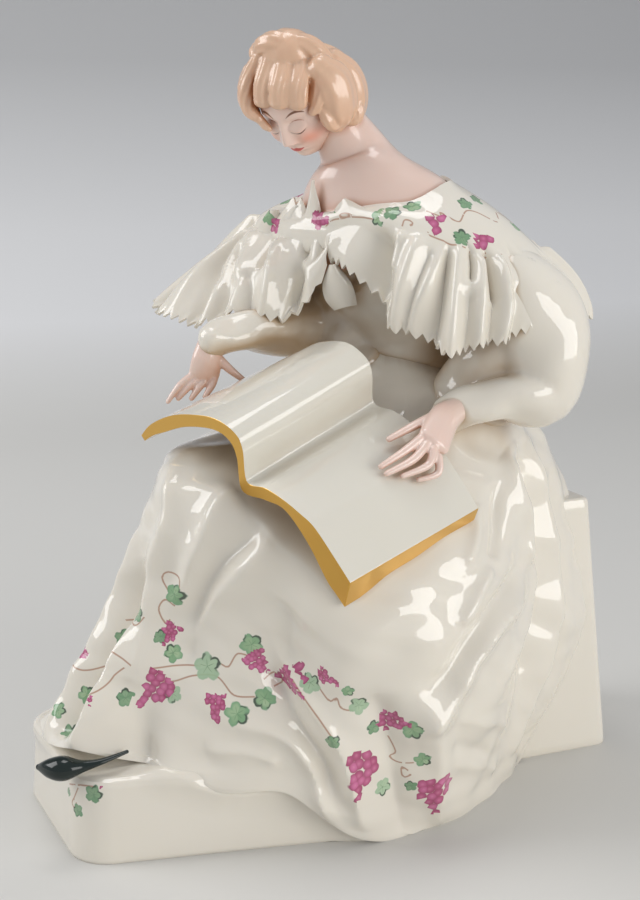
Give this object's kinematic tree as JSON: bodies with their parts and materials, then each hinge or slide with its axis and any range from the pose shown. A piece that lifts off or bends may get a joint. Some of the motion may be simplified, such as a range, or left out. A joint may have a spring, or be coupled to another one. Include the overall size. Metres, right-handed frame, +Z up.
{
  "type": "porcelain lady figurine",
  "caption": "Glazed porcelain figurine of a seated lady in a frilled gown reading an open book, with a painted vine and gilded page edges.",
  "frame": {"origin": "on the flat underside, inside the footrest's footprint, near the middle of the base", "axes": "+X along the base from the footrest to the seat, +Y from the front to the back, +Z up"},
  "size_m": [0.2108, 0.142, 0.2527],
  "materials": {
    "white_glaze": "clear gloss glaze over creamy white porcelain, with a painted vine",
    "skin": "pale pink overglaze paint under gloss",
    "hair": "peach blond overglaze paint under gloss",
    "gilding": "burnished ochre gold on the page edges",
    "black_glaze": "black green gloss paint"
  },
  "bodies": {
    "root": {"reading_lady": "white_glaze"}
  },
  "joints": []
}
